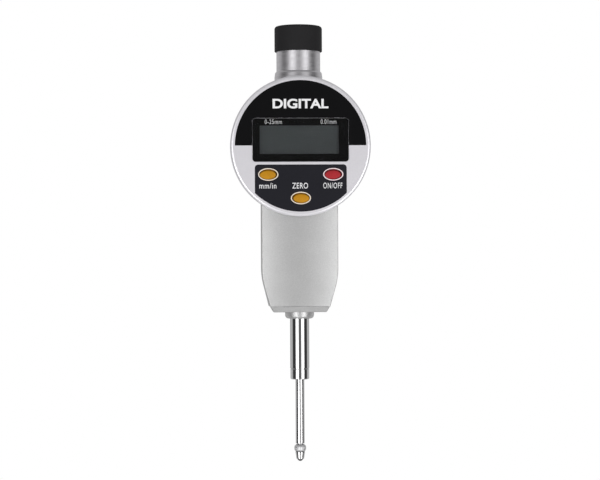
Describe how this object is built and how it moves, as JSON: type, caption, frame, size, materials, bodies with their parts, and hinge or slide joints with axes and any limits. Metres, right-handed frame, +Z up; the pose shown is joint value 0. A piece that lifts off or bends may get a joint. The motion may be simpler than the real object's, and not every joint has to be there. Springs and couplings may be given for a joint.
{
  "type": "digital dial indicator",
  "caption": "Digital dial indicator with a round display head, slim metal body, clamping stem, sprung spindle with ball tip, push buttons, capped sleeve and back lug.",
  "frame": {"origin": "on the spindle axis where the clamping stem leaves the body", "axes": "+Z up the spindle towards the cap, -Y out of the display, +X to the right of someone reading it"},
  "size_m": [0.058, 0.0443, 0.183],
  "materials": {
    "body_paint": "fine-textured silver-grey paint",
    "head_plastic": "satin silver paint",
    "label_print": "printed polycarbonate overlay, black, charcoal and silver",
    "lens_clear": "polished smoked window with a black border",
    "lcd_glass": "unlit liquid crystal panel",
    "black_plastic": "moulded black",
    "button_amber": "smooth amber rubberised plastic",
    "button_red": "smooth red rubberised plastic",
    "turned_aluminium": "fine turned, anodised clear",
    "chrome_steel": "polished hard chrome",
    "brushed_steel": "ground",
    "zinc_screw": "zinc plated",
    "hardened_ball": "lapped",
    "circuit_board": "green solder mask",
    "scale_board": "etched capacitive scale",
    "chip_resin": "black epoxy",
    "carrier_plastic": "glass-filled nylon",
    "brass_bush": "reamed",
    "rubber": "soft black",
    "zebra_rubber": "striped conductive silicone",
    "spring_steel": "drawn wire",
    "battery_steel": "nickel plated",
    "contact_nickel": "nickel plated strip"
  },
  "bodies": {
    "instrument_body": {"main_body": "body_paint", "back_cover": "body_paint", "display_housing": "head_plastic", "face_label": "label_print", "lcd_lens": "lens_clear", "lcd_panel": "lcd_glass", "lcd_holder": "black_plastic", "zebra_strip_upper": "zebra_rubber", "zebra_strip_lower": "zebra_rubber", "main_board": "circuit_board", "sensor_board": "circuit_board", "board_header": "black_plastic", "controller_chip": "chip_resin", "crystal_can": "battery_steel", "switch_unit": "black_plastic", "switch_zero": "black_plastic", "switch_power": "black_plastic", "board_screw_1": "zinc_screw", "board_screw_2": "zinc_screw", "head_screw_1": "zinc_screw", "head_screw_2": "zinc_screw", "head_screw_3": "zinc_screw", "head_screw_4": "zinc_screw", "back_screw_1": "zinc_screw", "back_screw_2": "zinc_screw", "back_screw_3": "zinc_screw", "back_screw_4": "zinc_screw", "data_connector": "black_plastic", "battery_contact_positive": "contact_nickel", "battery_contact_negative": "contact_nickel", "stem": "chrome_steel", "lower_bushing": "chrome_steel", "upper_bushing": "brass_bush", "lower_bumper": "rubber", "upper_bumper": "rubber", "guide_rod": "brushed_steel", "spring_anchor_pin": "brushed_steel", "return_spring": "spring_steel", "top_sleeve": "turned_aluminium", "cap_seal_ring": "rubber"},
    "spindle_group": {"spindle": "chrome_steel", "contact_point": "chrome_steel", "contact_ball": "hardened_ball", "lifting_button": "brushed_steel", "scale_carrier": "carrier_plastic", "encoder_scale": "scale_board", "guide_arm": "brushed_steel", "spring_hook_pin": "brushed_steel", "carrier_screw_lower": "zinc_screw", "carrier_screw_upper": "zinc_screw"},
    "unit_button": {"button_unit": "button_amber"},
    "zero_button": {"button_zero": "button_amber"},
    "power_button": {"button_power": "button_red"},
    "cap": {"dust_cap": "black_plastic"},
    "battery_drawer": {"battery_tray": "body_paint", "battery": "battery_steel"},
    "port_cover": {"data_port_cover": "black_plastic"}
  },
  "joints": [
    {"name": "spindle_slide", "type": "slide", "parent": "instrument_body", "child": "spindle_group", "axis": [0, 0, 1], "range_m": [0, 0.0254], "stiffness_N_per_m": 20, "springref_m": -0.03, "deforming": ["return_spring"]},
    {"name": "button_unit_press", "type": "slide", "parent": "instrument_body", "child": "unit_button", "axis": [0, 1, 0], "range_m": [0, 0.0004], "stiffness_N_per_m": 400, "springref_m": -0.001},
    {"name": "button_zero_press", "type": "slide", "parent": "instrument_body", "child": "zero_button", "axis": [0, 1, 0], "range_m": [0, 0.0004], "stiffness_N_per_m": 400, "springref_m": -0.001},
    {"name": "button_power_press", "type": "slide", "parent": "instrument_body", "child": "power_button", "axis": [0, 1, 0], "range_m": [0, 0.0004], "stiffness_N_per_m": 400, "springref_m": -0.001},
    {"name": "dust_cap_pull", "type": "slide", "parent": "instrument_body", "child": "cap", "axis": [0, 0, 1], "range_m": [0, 0.012]},
    {"name": "battery_tray_slide", "type": "slide", "parent": "instrument_body", "child": "battery_drawer", "axis": [-1, 0, 0], "range_m": [0, 0.014]},
    {"name": "data_port_cover_pull", "type": "slide", "parent": "instrument_body", "child": "port_cover", "axis": [1, 0, 0], "range_m": [0, 0.006]}
  ]
}
